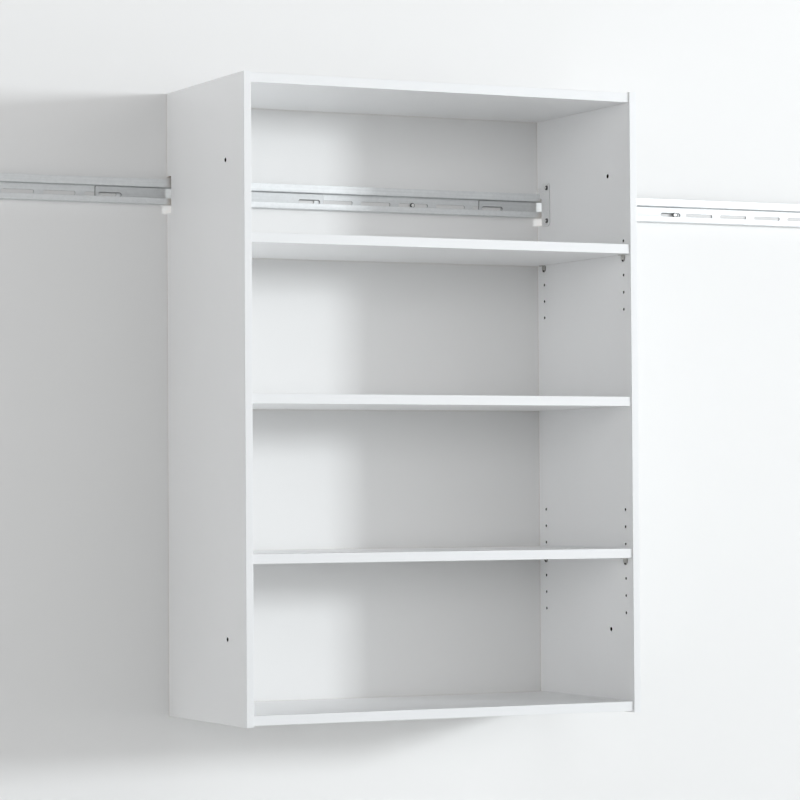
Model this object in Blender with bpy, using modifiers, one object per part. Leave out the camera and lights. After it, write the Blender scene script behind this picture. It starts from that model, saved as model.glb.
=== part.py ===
"""A wall-hung closet tower on a slotted steel hang rail.

Metres, +Z up. The wall is the plane Y = 0, the room is towards -Y, and X runs
along the rail. The origin is on the rail's back face, just above its slots, in
the middle of the tower.
"""

import math

import bmesh
import bpy
from mathutils import Euler, Matrix, Vector

MM = 0.001
FIT_GAP = 0.3 * MM

# How far a cutter reaches past the surface that it cuts
OVERSHOOT = 1 * MM

# Tower, measured from the underside of the side panels
PANEL_HEIGHT = 1152 * MM
PANEL_DEPTH = 363 * MM
PANEL_THICKNESS = 14 * MM
CLEAR_WIDTH = 766 * MM
BOARD_THICKNESS = 17.6 * MM
BOARD_DEPTH = 359.5 * MM
BOARD_SETBACK = 3.0 * MM
BOTTOM_BOARD_RISE = 2.8 * MM
TOP_BOARD_DROP = 1.4 * MM
BANDED_EDGE_RADIUS = 0.6 * MM
SHELF_SIDE_PLAY = 0.8 * MM

# The origin above the underside of the side panels
ORIGIN_HEIGHT = 970.5 * MM

# Holes in the side panels
PITCH = 32 * MM
PIN_HOLE_RADIUS = 2.65 * MM
PIN_HOLE_DEPTH = 11 * MM
PIN_COLUMN_INSET = 27 * MM
LOWER_HOLES_MIDDLE = 279.3 * MM
LOWER_HOLES_BELOW = 3
LOWER_HOLES_ABOVE = 3
UPPER_HOLES_PIN = 844.5 * MM
UPPER_HOLES_BELOW = 3
UPPER_HOLES_ABOVE = 1
LINK_HOLE_RADIUS = 4 * MM
LINK_HOLE_INSET = 84 * MM
LINK_HOLE_HEIGHTS = (151.2 * MM, 1002.4 * MM)
HOLE_SIDES = 12
LINK_HOLE_SIDES = 20

# Notch that lets the rail pass through each side panel
NOTCH_DEPTH = 21 * MM
NOTCH_BOTTOM = 929.5 * MM
NOTCH_TOP = 997.5 * MM
NOTCH_CORNER = 3 * MM

# Shelf pins
PIN_STUD_RADIUS = 2.35 * MM
PIN_STUD_LENGTH = 10 * MM
PIN_PLATE_WIDTH = 14 * MM
PIN_PLATE_THICKNESS = 1.5 * MM
PIN_PLATE_RISE = 6 * MM
PIN_PLATE_DROP = 7 * MM
PIN_SEAT_LENGTH = 9 * MM
PIN_SEAT_CORNER = 3 * MM
PIN_FOOT_STEPS = 10

# Rail section, roll-formed from one strip
SHEET = 1.6 * MM
RAIL_DEPTH = 13.5 * MM
RAIL_BOTTOM = -25.5 * MM
GUTTER_LIP_TOP = -14 * MM
HOOK_LIP_BOTTOM = 5.7 * MM
HOOK_LIP_TOP = 21 * MM
BEND_RADIUS = 2.2 * MM
SLOT_PITCH = 80 * MM
SLOT_LENGTH = 62 * MM
SLOT_WIDTH = 7 * MM
SLOT_Z = -9.5 * MM
FIRST_CUT = -9 * MM
SLOTS_LEFT = 6
SLOTS_CENTRE = 10
SLOTS_RIGHT = 7
LEFT_JOINT_SLOT = -4
SECTION_GAP = 1 * MM

# Joiner sleeves, flat strips that lie in the rail's gutter across each joint
SLEEVE_LENGTH = 462 * MM
SLEEVE_THICKNESS = 2 * MM
SLEEVE_TOP = 5.1 * MM
SLEEVE_SLOT_LENGTH = 45 * MM
SLEEVE_SLOT_WIDTH = 8 * MM
SLEEVE_SLOT_MARGIN = 7.6 * MM
SLEEVE_CORNER = 2.5 * MM
SLEEVE_STARTS = {"left": -541 * MM, "right": 251.5 * MM}

# Wall screws: along the rail, and how many layers of steel lie under the head
WALL_SCREWS = {
    "left_end": (-749 * MM, 1),
    "centre": (109 * MM, 1),
    "right": (692 * MM, 2),
    "right_end": (1011 * MM, 1),
}
WALL_SCREW_SHANK_RADIUS = 2.4 * MM
WALL_SCREW_HEAD_RADIUS = 4.7 * MM
WALL_SCREW_HEAD_HEIGHT = 2.6 * MM

# Cross recess in the screw heads
RECESS_WIDTH = 1.2 * MM

# Hook brackets
BRACKET_THICKNESS = 2 * MM
BRACKET_FRONT = -52.5 * MM
BRACKET_BACK = -21.5 * MM
BRACKET_BOTTOM = 926 * MM
BRACKET_TOP = 1010.5 * MM
BRACKET_CORNER = 9 * MM
BRACKET_REAR_CORNER = 5 * MM
BRACKET_STEP_CORNER = 1.5 * MM
BRACKET_SCREW_Y = -43.5 * MM
BRACKET_SCREW_HEIGHTS = {"lower": 937 * MM, "upper": 1001 * MM}
HOOK_TOP = 1003 * MM
HOOK_CHEEK_BOTTOM = 981 * MM
HOOK_TONGUE_BACK = -4.5 * MM
HOOK_TONGUE_BOTTOM = 980.5 * MM
HOOK_TONGUE_CORNER = 3 * MM
BRACKET_SCREW_SHANK_RADIUS = 2.3 * MM
BRACKET_SCREW_HEAD_RADIUS = 4.5 * MM
BRACKET_SCREW_HEAD_HEIGHT = 2.6 * MM
BRACKET_SCREW_DEPTH = 10.5 * MM
SCREW_SIDES = 16

# Knock-down fittings between the fixed boards and the side panels
CAM_RADIUS = 7.3 * MM
CAM_HEIGHT = 12.8 * MM
CAM_REACH = 33.5 * MM
CAM_INSETS = {"front": 60 * MM, "rear": 300 * MM}
CAM_CROSS_LENGTH = 8 * MM
CAM_CROSS_WIDTH = 1.4 * MM
CAM_CROSS_DEPTH = 1.8 * MM
CAM_SIDES = 16
POCKET_SIDES = 24
BOLT_SHAFT_RADIUS = 2.9 * MM
BOLT_NECK_RADIUS = 1.9 * MM
BOLT_NECK_LENGTH = 3 * MM
BOLT_HEAD_RADIUS = 3.2 * MM
BOLT_HEAD_LENGTH = 2.6 * MM
BOLT_HEAD_REACH = 29 * MM
BOLT_THREAD_RADIUS = 2.3 * MM
BOLT_THREAD_LENGTH = 9.5 * MM
BOLT_BORE_RADIUS = 4 * MM
BOLT_SIDES = 8

FLOOR_Z = -ORIGIN_HEIGHT
INNER_X = CLEAR_WIDTH / 2
FRONT_Y = -PANEL_DEPTH
BOARD_FRONT_Y = FRONT_Y + BOARD_SETBACK
SIDES = {"left": -1, "right": 1}
PIN_COLUMNS = {"front": FRONT_Y + PIN_COLUMN_INSET, "rear": -PIN_COLUMN_INSET}

# Each fixed board: its underside, and the face that its cams are let into (1 is the top)
FIXED_BOARDS = {
    "bottom_board": (BOTTOM_BOARD_RISE, -1),
    "middle_shelf": ((PANEL_HEIGHT - BOARD_THICKNESS) / 2, 1),
    "top_board": (PANEL_HEIGHT - TOP_BOARD_DROP - BOARD_THICKNESS, 1),
}

# Turns that lay a piece drawn in XY upright, facing +X or -Y
UPRIGHT_ALONG_X = (math.pi / 2, 0, math.pi / 2)
UPRIGHT_ALONG_Y = (math.pi / 2, 0, 0)

MATERIALS = {
    "white_melamine": ((0.86, 0.87, 0.88), 0.45, 0.0),
    "galvanised_steel": ((0.62, 0.65, 0.68), 0.42, 1.0),
    "zinc_bracket": ((0.66, 0.68, 0.69), 0.38, 1.0),
    "nickel_pin": ((0.70, 0.69, 0.66), 0.28, 1.0),
    "screw_steel": ((0.58, 0.58, 0.57), 0.35, 1.0),
    "cam_zinc": ((0.60, 0.61, 0.62), 0.40, 1.0),
}


def clear_scene():
    for obj in list(bpy.data.objects):
        bpy.data.objects.remove(obj, do_unlink=True)


def new_collection(name, parent):
    collection = bpy.data.collections.new(name)
    parent.children.link(collection)
    return collection


def new_material(name):
    colour, roughness, metallic = MATERIALS[name]
    made = bpy.data.materials.new(name)
    made.use_nodes = True
    surface = made.node_tree.nodes["Principled BSDF"]
    surface.inputs["Base Color"].default_value = (*colour, 1)
    surface.inputs["Roughness"].default_value = roughness
    surface.inputs["Metallic"].default_value = metallic
    return made


def part(name, mesh, finish, location=(0, 0, 0), rotation=(0, 0, 0)):
    """A piece of the closet, with its own material."""
    mesh.materials.append(new_material(finish))
    obj = bpy.data.objects.new(name, mesh)
    obj.location = location
    obj.rotation_euler = rotation
    closet.objects.link(obj)
    return obj


def tool(name, mesh, owner, location=(0, 0, 0), rotation=(0, 0, 0)):
    """A hidden solid that a Boolean takes from, or adds to, the piece called owner."""
    obj = bpy.data.objects.new(name, mesh)
    obj.location = location
    obj.rotation_euler = rotation
    obj.hide_render = True
    obj.display_type = "WIRE"
    group = owner + "_tools"
    if group not in bpy.data.collections:
        new_collection(group, tools)
    bpy.data.collections[group].objects.link(obj)
    return obj


def apply_tools(obj, operation="DIFFERENCE"):
    """One Boolean for all the tools that were made for obj."""
    work = obj.modifiers.new(operation.lower(), "BOOLEAN")
    work.operation = operation
    work.solver = "EXACT"
    work.operand_type = "COLLECTION"
    work.collection = bpy.data.collections[obj.name + "_tools"]


def mesh_from(name, bm):
    mesh = bpy.data.meshes.new(name)
    bm.to_mesh(mesh)
    bm.free()
    return mesh


def box_mesh(name, size, eased=None, radius=0, steps=2):
    """A box about its centre. The edges for which eased(a, b) holds are rounded."""
    bm = bmesh.new()
    bmesh.ops.create_cube(bm, size=1, matrix=Matrix.Diagonal((*size, 1)))
    if eased:
        edges = [edge for edge in bm.edges if eased(edge.verts[0].co, edge.verts[1].co)]
        bmesh.ops.bevel(
            bm, geom=edges, offset=radius, segments=steps, profile=0.5, affect="EDGES"
        )
    return mesh_from(name, bm)


def rod_mesh(name, radius, length, sides):
    """A cylinder that runs from its origin along +Z."""
    bm = bmesh.new()
    middle = Matrix.Translation((0, 0, length / 2))
    bmesh.ops.create_cone(
        bm,
        cap_ends=True,
        segments=sides,
        radius1=radius,
        radius2=radius,
        depth=length,
        matrix=middle,
    )
    return mesh_from(name, bm)


def plate_mesh(name, outline, thickness):
    """A flat plate: an outline in XY, as thick above the plane as below it."""
    curve = bpy.data.curves.new(name, "CURVE")
    curve.dimensions = "2D"
    curve.fill_mode = "BOTH"
    curve.extrude = thickness / 2
    spline = curve.splines.new("POLY")
    spline.points.add(len(outline) - 1)
    for point, (x, y) in zip(spline.points, outline):
        point.co = (x, y, 0, 1)
    spline.use_cyclic_u = True
    guide = bpy.data.objects.new(name, curve)
    bpy.context.scene.collection.objects.link(guide)
    graph = bpy.context.evaluated_depsgraph_get()
    mesh = bpy.data.meshes.new_from_object(guide.evaluated_get(graph))
    bpy.data.objects.remove(guide)
    bm = bmesh.new()
    bm.from_mesh(mesh)
    bmesh.ops.remove_doubles(bm, verts=bm.verts, dist=0.001 * MM)
    bm.to_mesh(mesh)
    bm.free()
    return mesh


def turned(name, profile, finish, sides, location=(0, 0, 0), rotation=(0, 0, 0)):
    """A turned piece: (radius, height) pairs down its outer side, spun about Z."""
    bm = bmesh.new()
    verts = [bm.verts.new((radius, 0, height)) for radius, height in profile]
    for pair in zip(verts, verts[1:]):
        bm.edges.new(pair)
    piece = part(name, mesh_from(name, bm), finish, location, rotation)
    spin = piece.modifiers.new("turn", "SCREW")
    spin.steps = spin.render_steps = sides
    spin.use_merge_vertices = True
    spin.merge_threshold = 0.01 * MM
    spin.use_smooth_shade = False
    return piece


def rounded(corners, steps=4):
    """The outline through ((x, y), radius) corners, each rounded by its radius."""
    outline = []
    for index, (corner, radius) in enumerate(corners):
        before = Vector(corners[index - 1][0])
        after = Vector(corners[(index + 1) % len(corners)][0])
        outline += corner_arc(before, Vector(corner), after, radius, steps)
    return outline


def corner_arc(before, corner, after, radius, steps):
    """Points of the arc that rounds a corner between two straight runs."""
    if radius == 0:
        return [corner]
    into = (before - corner).normalized()
    out = (after - corner).normalized()
    half = into.angle(out) / 2
    trim = radius / math.tan(half)
    centre = corner + (into + out).normalized() * (radius / math.sin(half))
    first = corner + into * trim - centre
    last = corner + out * trim - centre
    sweep = first.angle(last)
    points = []
    for k in range(steps + 1):
        start_share = math.sin(sweep * (1 - k / steps))
        end_share = math.sin(sweep * k / steps)
        points.append(centre + (first * start_share + last * end_share) / math.sin(sweep))
    return points


def slot_outline(length, width, steps=6):
    """A straight slot with round ends."""
    outline = []
    for end in (1, -1):
        for k in range(steps + 1):
            turn = math.pi * (k / steps - 0.5 * end)
            x = end * (length - width) / 2 + width / 2 * math.cos(turn)
            outline.append((x, width / 2 * math.sin(turn)))
    return outline


def front_edges_along(axis):
    """Picks the two front edges of a box that run along the axis."""

    def eased(a, b):
        return a.y < 0 and b.y < 0 and abs(a[axis] - b[axis]) > BOARD_THICKNESS

    return eased


def board(name, width, depth, height, banded_axis, location):
    """A melamine board whose banded front edges are eased."""
    eased = front_edges_along(banded_axis)
    mesh = box_mesh(name, (width, depth, height), eased, BANDED_EDGE_RADIUS)
    return part(name, mesh, "white_melamine", location)


def pin_hole_heights():
    """Heights of one column's pin holes above the panel's underside."""
    lower = range(-LOWER_HOLES_BELOW, LOWER_HOLES_ABOVE + 1)
    upper = range(-UPPER_HOLES_BELOW, UPPER_HOLES_ABOVE + 1)
    heights = [LOWER_HOLES_MIDDLE + k * PITCH for k in lower]
    return heights + [UPPER_HOLES_PIN + k * PITCH for k in upper]


def bolt_height(underside):
    return underside + BOARD_THICKNESS / 2


def side_panel(side, sign):
    """A side panel with its rail notch, pin holes, link holes and fitting holes."""
    name = "side_panel_" + side
    centre = (
        sign * (INNER_X + PANEL_THICKNESS / 2),
        FRONT_Y + PANEL_DEPTH / 2,
        FLOOR_Z + PANEL_HEIGHT / 2,
    )
    panel = board(name, PANEL_THICKNESS, PANEL_DEPTH, PANEL_HEIGHT, 2, centre)

    notch_width = NOTCH_TOP - NOTCH_BOTTOM
    notch_corners = [
        ((-NOTCH_DEPTH, -notch_width / 2), NOTCH_CORNER),
        ((PANEL_THICKNESS, -notch_width / 2), 0),
        ((PANEL_THICKNESS, notch_width / 2), 0),
        ((-NOTCH_DEPTH, notch_width / 2), NOTCH_CORNER),
    ]
    notch = plate_mesh("notch_" + side, rounded(notch_corners), 2 * PANEL_THICKNESS)
    notch_centre = (centre[0], 0, FLOOR_Z + (NOTCH_TOP + NOTCH_BOTTOM) / 2)
    tool("notch_" + side, notch, name, notch_centre, UPRIGHT_ALONG_X)

    def bore(label, y, height, radius, depth, sides=HOLE_SIDES):
        hole = rod_mesh(label, radius, depth + OVERSHOOT, sides)
        mouth = (sign * (INNER_X - OVERSHOOT), y, FLOOR_Z + height)
        tool("%s_%s" % (label, side), hole, name, mouth, (0, sign * math.pi / 2, 0))

    for column, y in PIN_COLUMNS.items():
        for index, height in enumerate(pin_hole_heights()):
            bore("pin_hole_%s_%d" % (column, index), y, height, PIN_HOLE_RADIUS, PIN_HOLE_DEPTH)
    for index, height in enumerate(LINK_HOLE_HEIGHTS):
        y = FRONT_Y + LINK_HOLE_INSET
        depth = PANEL_THICKNESS + OVERSHOOT
        bore("link_hole_%d" % index, y, height, LINK_HOLE_RADIUS, depth, LINK_HOLE_SIDES)
    for place, height in BRACKET_SCREW_HEIGHTS.items():
        radius = BRACKET_SCREW_SHANK_RADIUS + FIT_GAP
        depth = BRACKET_SCREW_DEPTH + FIT_GAP
        bore("screw_hole_" + place, BRACKET_SCREW_Y, height, radius, depth)
    for level, (underside, _) in FIXED_BOARDS.items():
        for place, inset in CAM_INSETS.items():
            radius = BOLT_THREAD_RADIUS + FIT_GAP
            depth = BOLT_THREAD_LENGTH + FIT_GAP
            label = "bolt_hole_%s_%s" % (level, place)
            bore(label, FRONT_Y + inset, bolt_height(underside), radius, depth)
    apply_tools(panel)


def fixed_board(name, underside, cam_face):
    """A fixed board, bored at its ends for the bolts and in one face for the cams."""
    centre = (
        0,
        BOARD_FRONT_Y + BOARD_DEPTH / 2,
        FLOOR_Z + underside + BOARD_THICKNESS / 2,
    )
    width = CLEAR_WIDTH - 2 * FIT_GAP
    piece = board(name, width, BOARD_DEPTH, BOARD_THICKNESS, 0, centre)
    face_z = centre[2] + cam_face * BOARD_THICKNESS / 2
    # A cam is drawn with its jaw upwards, so it is turned over where it is let in from above
    let_in = (math.pi, 0, 0) if cam_face > 0 else (0, 0, 0)
    for side, sign in SIDES.items():
        for place, inset in CAM_INSETS.items():
            tag = "%s_%s_%s" % (name.split("_")[0], side, place)
            y = FRONT_Y + inset
            cam_x = sign * (INNER_X - CAM_REACH)
            bore = rod_mesh("bolt_bore_" + tag, BOLT_BORE_RADIUS, CAM_REACH + OVERSHOOT, HOLE_SIDES)
            aim = (0, sign * math.pi / 2, 0)
            tool("bolt_bore_" + tag, bore, name, (cam_x, y, centre[2]), aim)
            depth = CAM_HEIGHT + FIT_GAP + OVERSHOOT
            pocket = rod_mesh("cam_pocket_" + tag, CAM_RADIUS + FIT_GAP, depth, POCKET_SIDES)
            mouth = (cam_x, y, face_z + cam_face * OVERSHOOT)
            tool("cam_pocket_" + tag, pocket, name, mouth, let_in)
            cam_bolt("cam_bolt_" + tag, sign, y, centre[2])
            cam_lock("cam_lock_" + tag, (cam_x, y, face_z), sign, let_in)
    apply_tools(piece)


def cam_bolt(name, sign, y, z):
    """The bolt that screws into the side panel and ends in the cam's jaw."""
    head = BOLT_HEAD_REACH
    profile = [
        (0, BOLT_THREAD_LENGTH),
        (BOLT_THREAD_RADIUS * 0.6, BOLT_THREAD_LENGTH),
        (BOLT_THREAD_RADIUS, BOLT_THREAD_LENGTH * 0.8),
        (BOLT_THREAD_RADIUS, -FIT_GAP),
        (BOLT_SHAFT_RADIUS, -FIT_GAP),
        (BOLT_SHAFT_RADIUS, BOLT_NECK_LENGTH - head),
        (BOLT_NECK_RADIUS, BOLT_NECK_LENGTH - head),
        (BOLT_NECK_RADIUS, -head),
        (BOLT_HEAD_RADIUS, -head),
        (BOLT_HEAD_RADIUS * 0.7, -head - BOLT_HEAD_LENGTH),
        (0, -head - BOLT_HEAD_LENGTH),
    ]
    aim = (0, sign * math.pi / 2, 0)
    turned(name, profile, "screw_steel", BOLT_SIDES, (sign * INNER_X, y, z), aim)


def cam_lock(name, location, sign, rotation):
    """The round cam: a driver cross in its face, and a jaw over the bolt's head."""
    mesh = rod_mesh(name, CAM_RADIUS, CAM_HEIGHT, CAM_SIDES)
    lock = part(name, mesh, "cam_zinc", location, rotation)
    facing = Euler(rotation).to_matrix()
    jaw_end = CAM_REACH - BOLT_HEAD_REACH - BOLT_HEAD_LENGTH - 2 * FIT_GAP
    jaw_length = CAM_RADIUS + OVERSHOOT - jaw_end
    jaw_width = 2 * (BOLT_HEAD_RADIUS + FIT_GAP)
    jaw_bottom = BOARD_THICKNESS / 2 - jaw_width / 2
    jaw_height = CAM_HEIGHT + OVERSHOOT - jaw_bottom
    jaw = box_mesh("jaw_" + name, (jaw_length, jaw_width, jaw_height))
    jaw_centre = (sign * (jaw_end + jaw_length / 2), 0, jaw_bottom + jaw_height / 2)
    tool("jaw_" + name, jaw, name, Vector(location) + facing @ Vector(jaw_centre), rotation)
    for direction, angle in (("a", 0), ("b", math.pi / 2)):
        blade = "cross_%s_%s" % (direction, name)
        size = (CAM_CROSS_LENGTH, CAM_CROSS_WIDTH, 2 * CAM_CROSS_DEPTH)
        tool(blade, box_mesh(blade, size), name, location, (0, 0, angle))
    apply_tools(lock)


def adjustable_shelf(level, pin_height):
    """A loose shelf, on four pins."""
    underside = FLOOR_Z + pin_height + PIN_PLATE_RISE + FIT_GAP
    centre = (0, BOARD_FRONT_Y + BOARD_DEPTH / 2, underside + BOARD_THICKNESS / 2)
    width = CLEAR_WIDTH - 2 * SHELF_SIDE_PLAY
    board(level + "_adjustable_shelf", width, BOARD_DEPTH, BOARD_THICKNESS, 0, centre)
    for side, sign in SIDES.items():
        for column, y in PIN_COLUMNS.items():
            shelf_pin("shelf_pin_%s_%s_%s" % (level, side, column), sign, y, pin_height)


def shelf_pin(name, sign, y, height):
    """An angle pin: a plate with a round foot, a seat for the shelf, and a stud."""
    half = PIN_PLATE_WIDTH / 2
    foot = half - PIN_PLATE_DROP
    outline = [(half, PIN_PLATE_RISE), (-half, PIN_PLATE_RISE)]
    for k in range(PIN_FOOT_STEPS + 1):
        turn = math.pi * k / PIN_FOOT_STEPS
        outline.append((-half * math.cos(turn), foot - half * math.sin(turn)))
    hole = Vector((sign * INNER_X, y, FLOOR_Z + height))
    inward = Vector((-sign, 0, 0))
    plate_centre = hole + inward * (FIT_GAP + PIN_PLATE_THICKNESS / 2)
    plate = plate_mesh(name, outline, PIN_PLATE_THICKNESS)
    pin = part(name, plate, "nickel_pin", plate_centre, UPRIGHT_ALONG_X)

    def seat_corner(a, b):
        return a.x > 0 and b.x > 0 and a.y * b.y > 0 and abs(a.z - b.z) > MM

    seat_size = (PIN_SEAT_LENGTH - FIT_GAP, PIN_PLATE_WIDTH, PIN_PLATE_THICKNESS)
    seat = box_mesh(name + "_seat", seat_size, seat_corner, PIN_SEAT_CORNER, 3)
    seat_centre = hole + inward * (PIN_SEAT_LENGTH + FIT_GAP) / 2
    seat_centre.z += PIN_PLATE_RISE - PIN_PLATE_THICKNESS / 2
    turn = (0, 0, 0) if sign < 0 else (0, 0, math.pi)
    tool(name + "_seat", seat, name, seat_centre, turn)
    inside_plate = FIT_GAP + PIN_PLATE_THICKNESS / 2
    stud_length = inside_plate + PIN_STUD_LENGTH
    stud = rod_mesh(name + "_stud", PIN_STUD_RADIUS, stud_length, HOLE_SIDES)
    stud_start = hole + inward * inside_plate
    tool(name + "_stud", stud, name, stud_start, (0, sign * math.pi / 2, 0))
    apply_tools(pin, "UNION")


def rail_path():
    """The strip's room side in YZ, from the gutter lip's edge to the hook lip's edge."""
    inner_radius = BEND_RADIUS - SHEET
    corners = [
        ((-RAIL_DEPTH + SHEET, GUTTER_LIP_TOP), 0),
        ((-RAIL_DEPTH + SHEET, RAIL_BOTTOM + SHEET), inner_radius),
        ((-SHEET, RAIL_BOTTOM + SHEET), inner_radius),
        ((-SHEET, HOOK_LIP_BOTTOM), inner_radius),
        ((-RAIL_DEPTH, HOOK_LIP_BOTTOM), BEND_RADIUS),
        ((-RAIL_DEPTH, HOOK_LIP_TOP), 0),
    ]
    return rounded(corners, 3)


def rail_section(name, start, end, slots):
    """One length of rail: the bent strip drawn along X, given its sheet, then slotted."""
    bm = bmesh.new()
    verts = [bm.verts.new((0, point.x, point.y)) for point in rail_path()]
    edges = [bm.edges.new(pair) for pair in zip(verts, verts[1:])]
    drawn = bmesh.ops.extrude_edge_only(bm, edges=edges)
    moved = [item for item in drawn["geom"] if isinstance(item, bmesh.types.BMVert)]
    bmesh.ops.translate(bm, verts=moved, vec=(end - start, 0, 0))
    rail = part(name, mesh_from(name, bm), "galvanised_steel", (start, 0, 0))
    sheet = rail.modifiers.new("sheet", "SOLIDIFY")
    sheet.thickness = SHEET
    sheet.offset = -1
    sheet.use_even_offset = True
    for index, centre in enumerate(slots):
        label = "%s_slot_%d" % (name, index)
        slot = plate_mesh(label, slot_outline(SLOT_LENGTH, SLOT_WIDTH), 3 * SHEET)
        tool(label, slot, name, (centre, -SHEET / 2, SLOT_Z), UPRIGHT_ALONG_Y)
    apply_tools(rail)


def hang_rail():
    """Three sections cut between slots, with a sleeve across each joint."""
    start = FIRST_CUT + SLOT_PITCH * (LEFT_JOINT_SLOT - SLOTS_LEFT)
    for name, count in (("left", SLOTS_LEFT), ("centre", SLOTS_CENTRE), ("right", SLOTS_RIGHT)):
        end = start + SLOT_PITCH * count
        slots = [start + SLOT_PITCH * (k + 0.5) for k in range(count)]
        half_gap = SECTION_GAP / 2
        rail_section("rail_section_" + name, start + half_gap, end - half_gap, slots)
        start = end
    for side, sleeve_start in SLEEVE_STARTS.items():
        joiner_sleeve("joiner_sleeve_" + side, sleeve_start)


def joiner_sleeve(name, start):
    """A flat strip that stands in the gutter, against the web, with a slot at each end."""
    bottom = RAIL_BOTTOM + SHEET + FIT_GAP
    centre_y = -SHEET - FIT_GAP - SLEEVE_THICKNESS / 2
    height = SLEEVE_TOP - bottom

    def end_corner(a, b):
        return abs(a.y - b.y) > MM

    size = (SLEEVE_LENGTH, SLEEVE_THICKNESS, height)
    mesh = box_mesh(name, size, end_corner, SLEEVE_CORNER, 3)
    middle = (start + SLEEVE_LENGTH / 2, centre_y, bottom + height / 2)
    sleeve = part(name, mesh, "galvanised_steel", middle)
    reach = (SLEEVE_LENGTH - SLEEVE_SLOT_LENGTH) / 2 - SLEEVE_SLOT_MARGIN
    for end, offset in (("a", -reach), ("b", reach)):
        label = "%s_slot_%s" % (name, end)
        outline = slot_outline(SLEEVE_SLOT_LENGTH, SLEEVE_SLOT_WIDTH)
        slot = plate_mesh(label, outline, 3 * SLEEVE_THICKNESS)
        tool(label, slot, name, (middle[0] + offset, centre_y, SLOT_Z), UPRIGHT_ALONG_Y)
    apply_tools(sleeve)


def pan_screw(name, seat, rotation, shank_radius, shank_length, head_radius, head_height):
    """A pan-head screw with a cross recess. Its origin is under its head, on its axis."""
    profile = [
        (0, head_height),
        (head_radius * 0.55, head_height),
        (head_radius * 0.88, head_height * 0.72),
        (head_radius, head_height * 0.3),
        (head_radius, 0),
        (shank_radius, 0),
        (shank_radius, 1.5 * shank_radius - shank_length),
        (shank_radius * 0.35, -shank_length),
        (0, -shank_length),
    ]
    piece = turned(name, profile, "screw_steel", SCREW_SIDES, seat, rotation)
    outward = Euler(rotation).to_matrix() @ Vector((0, 0, head_height))
    recess = (head_radius, RECESS_WIDTH, head_height)
    for direction, angle in (("a", 0), ("b", math.pi / 2)):
        label = "%s_recess_%s" % (name, direction)
        turn = Euler(rotation).to_matrix() @ Matrix.Rotation(angle, 3, "Z")
        mesh = box_mesh(label, recess)
        tool(label, mesh, name, Vector(seat) + outward, turn.to_euler())
    apply_tools(piece)


def wall_screws():
    for name, (x, layers) in WALL_SCREWS.items():
        seat = -SHEET - FIT_GAP
        if layers == 2:
            seat -= SLEEVE_THICKNESS + FIT_GAP
        pan_screw(
            "wall_screw_" + name,
            (x, seat, SLOT_Z),
            UPRIGHT_ALONG_Y,
            WALL_SCREW_SHANK_RADIUS,
            -seat,
            WALL_SCREW_HEAD_RADIUS,
            WALL_SCREW_HEAD_HEIGHT,
        )


def bracket_outline():
    """The bracket's plate with its hook, in Y and in height above the tower's underside."""
    lip_top = ORIGIN_HEIGHT + HOOK_LIP_TOP + FIT_GAP
    lip_front = -RAIL_DEPTH - 2 * FIT_GAP
    lip_back = -RAIL_DEPTH + SHEET + 2 * FIT_GAP
    corners = [
        ((BRACKET_FRONT, BRACKET_BOTTOM), BRACKET_CORNER),
        ((BRACKET_BACK, BRACKET_BOTTOM), BRACKET_CORNER),
        ((BRACKET_BACK, HOOK_CHEEK_BOTTOM), BRACKET_STEP_CORNER),
        ((lip_front, HOOK_CHEEK_BOTTOM), BRACKET_STEP_CORNER),
        ((lip_front, lip_top), 0),
        ((lip_back, lip_top), 0),
        ((lip_back, HOOK_TONGUE_BOTTOM), BRACKET_STEP_CORNER),
        ((HOOK_TONGUE_BACK, HOOK_TONGUE_BOTTOM), HOOK_TONGUE_CORNER),
        ((HOOK_TONGUE_BACK, HOOK_TOP), BRACKET_REAR_CORNER),
        ((BRACKET_BACK, HOOK_TOP), BRACKET_STEP_CORNER),
        ((BRACKET_BACK, BRACKET_TOP), BRACKET_REAR_CORNER),
        ((BRACKET_FRONT, BRACKET_TOP), BRACKET_CORNER),
    ]
    return rounded(corners)


def hook_bracket(side, sign):
    """A steel plate on a panel's inner face. It hooks over the rail's upper lip."""
    name = "hook_bracket_" + side
    plate = plate_mesh(name, bracket_outline(), BRACKET_THICKNESS)
    centre_x = sign * (INNER_X - FIT_GAP - BRACKET_THICKNESS / 2)
    bracket = part(name, plate, "zinc_bracket", (centre_x, 0, FLOOR_Z), UPRIGHT_ALONG_X)
    seat_x = centre_x - sign * (BRACKET_THICKNESS / 2 + FIT_GAP)
    inward = (0, -sign * math.pi / 2, 0)
    for place, height in BRACKET_SCREW_HEIGHTS.items():
        label = "bracket_hole_%s_%s" % (side, place)
        radius = BRACKET_SCREW_SHANK_RADIUS + FIT_GAP
        hole = rod_mesh(label, radius, 3 * BRACKET_THICKNESS, SCREW_SIDES)
        seat = (seat_x, BRACKET_SCREW_Y, FLOOR_Z + height)
        start = (centre_x - sign * 1.5 * BRACKET_THICKNESS, seat[1], seat[2])
        tool(label, hole, name, start, (0, sign * math.pi / 2, 0))
        pan_screw(
            "bracket_screw_%s_%s" % (side, place),
            seat,
            inward,
            BRACKET_SCREW_SHANK_RADIUS,
            BRACKET_THICKNESS + 2 * FIT_GAP + BRACKET_SCREW_DEPTH,
            BRACKET_SCREW_HEAD_RADIUS,
            BRACKET_SCREW_HEAD_HEIGHT,
        )
    apply_tools(bracket)


def shade_round_pieces():
    """Smooth shading on the pieces that are turned, bent or have rounded outlines."""
    for obj in closet.objects:
        if obj.name.startswith(("side_panel", "top_board", "middle_shelf", "bottom_board")):
            continue
        obj.data.shade_smooth()
        obj.data.set_sharp_from_angle(angle=math.radians(35))


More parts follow.
